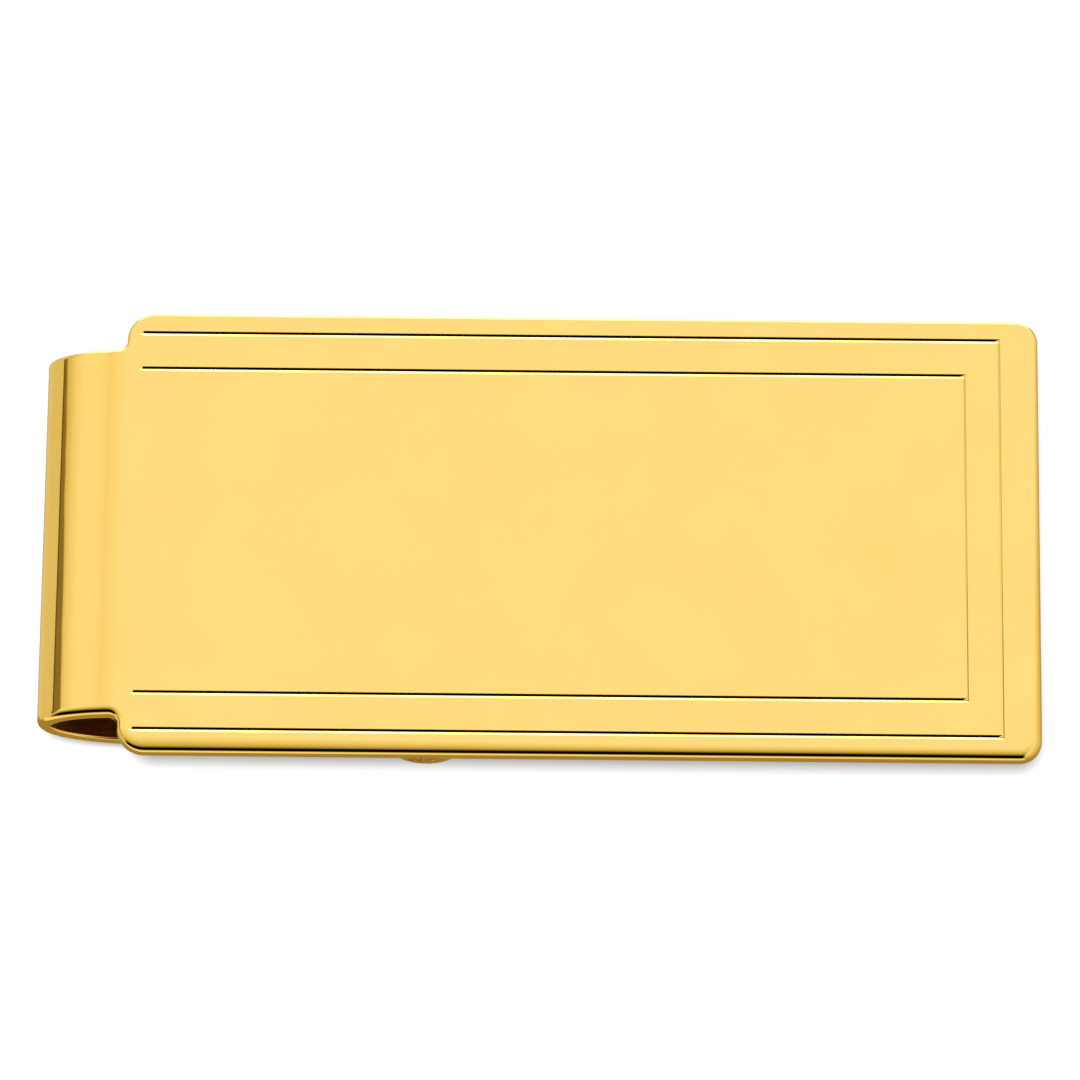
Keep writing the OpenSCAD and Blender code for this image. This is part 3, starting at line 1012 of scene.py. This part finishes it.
# A dark gap between two panels, from GAP_FROM to GAP_TO degrees of roll.  Its first side
# leans with y about GAP_MIDDLE, and moves in below GAP_NARROW_Y.
GAP_DARK, GAP_BROWN = (0.12, 0.075, 0.022), (0.265, 0.195, 0.08)
GAP_FROM, GAP_TO = 64.0, 74.6
GAP_BLUR_FROM, GAP_BLUR_TO = 0.8, 0.5
GAP_MIDDLE, GAP_LEAN, GAP_LEAN_Y = 0.374, 190.0, 0.02
GAP_NARROW_Y, GAP_NARROW = 0.35, 16.0
GAP_Y_END, GAP_Y_START = (0.52, 0.46), (-0.35, -0.15)
GAP_TONE = 71.4, 72.6                       # degrees of roll, from brown to dark


def gap_here(w, roll, y):
    """1 inside the gap between the panels, 0 outside it."""
    from_middle = w.math("SUBTRACT", y, GAP_MIDDLE)
    leaned = w.math("MAXIMUM", w.math("MINIMUM", from_middle, GAP_LEAN_Y), -GAP_LEAN_Y)
    lean = w.times(leaned, GAP_LEAN)
    narrow = w.times(w.math("MAXIMUM", w.math("SUBTRACT", GAP_NARROW_Y, y), 0.0), GAP_NARROW)
    shifted = w.math("SUBTRACT", roll, w.math("ADD", lean, narrow))
    across = w.times(w.step(shifted, GAP_FROM - GAP_BLUR_FROM, GAP_FROM + GAP_BLUR_FROM),
                     w.step(roll, GAP_TO + GAP_BLUR_TO, GAP_TO - GAP_BLUR_TO))
    return w.times(across, w.step(y, *GAP_Y_END), w.step(y, *GAP_Y_START))


def make_world():
    """The soft studio round the object, by direction only."""
    world = bpy.data.worlds.new("studio")
    bpy.context.scene.world = world
    world.use_nodes = True
    world.node_tree.nodes.clear()
    w = Graph(world.node_tree)
    split = w.tree.nodes.new("ShaderNodeSeparateXYZ")
    w.tree.links.new(w.tree.nodes.new("ShaderNodeTexCoord").outputs["Generated"], split.inputs[0])
    x, y, z = split.outputs
    roll, tilt = w.angle(w.math("MULTIPLY", x, -1.0), z), w.angle(y, z)
    front = w.times(w.step(y, *FRONT_Y), w.step(x, *FRONT_RIGHT), w.step(x, *FRONT_LEFT))
    back = w.times(w.step(y, *BACK_Y), w.step(w.math("ABSOLUTE", x), *BACK_X))
    colour = w.mix(w.math("MAXIMUM", front, back), w.ramp(roll, ROLL), w.ramp(tilt, TILT))
    tone = w.mix(w.step(roll, *GAP_TONE), GAP_BROWN, GAP_DARK)
    colour = w.mix(gap_here(w, roll, y), colour, tone)
    background = w.tree.nodes.new("ShaderNodeBackground")
    background.inputs["Strength"].default_value = RAMP_SCALE
    w.tree.links.new(colour, background.inputs["Color"])
    out = w.tree.nodes.new("ShaderNodeOutputWorld")
    w.tree.links.new(background.outputs["Background"], out.inputs["Surface"])


# ---------------------------------------------------------------- putting it together
def dress(obj, body, slot, *nodes):
    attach(obj, body)
    if nodes:
        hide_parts(*nodes)


def main():
    make_camera()
    polish, cut, satin = polished_gold(), sheared_gold_painted_shade(), satin_gold_painted_shade()
    hammered, steel = hammered_gold(), brushed_steel()
    dress(make_clip([polish, cut, satin]), "clip", "gold_plate", "clip_body")
    dress(make_lever([polish, cut, satin]), "lever_arm", "gold_plate", "lever")
    dress(make_hub([polish]), "lever_arm", "gold_plate")
    dress(make_pin([hammered]), "clip", "pin_gold", "hinge_pin")
    for obj in make_rivets([hammered]):
        dress(obj, "clip", "pin_gold", "spring_rivets")
    dress(make_spring([steel]), "clip", "spring_steel", "leaf_spring")
    make_floor()
    make_backdrop()
    make_key()
    make_world()
    bpy.context.scene.view_settings.view_transform = "Standard"


main()
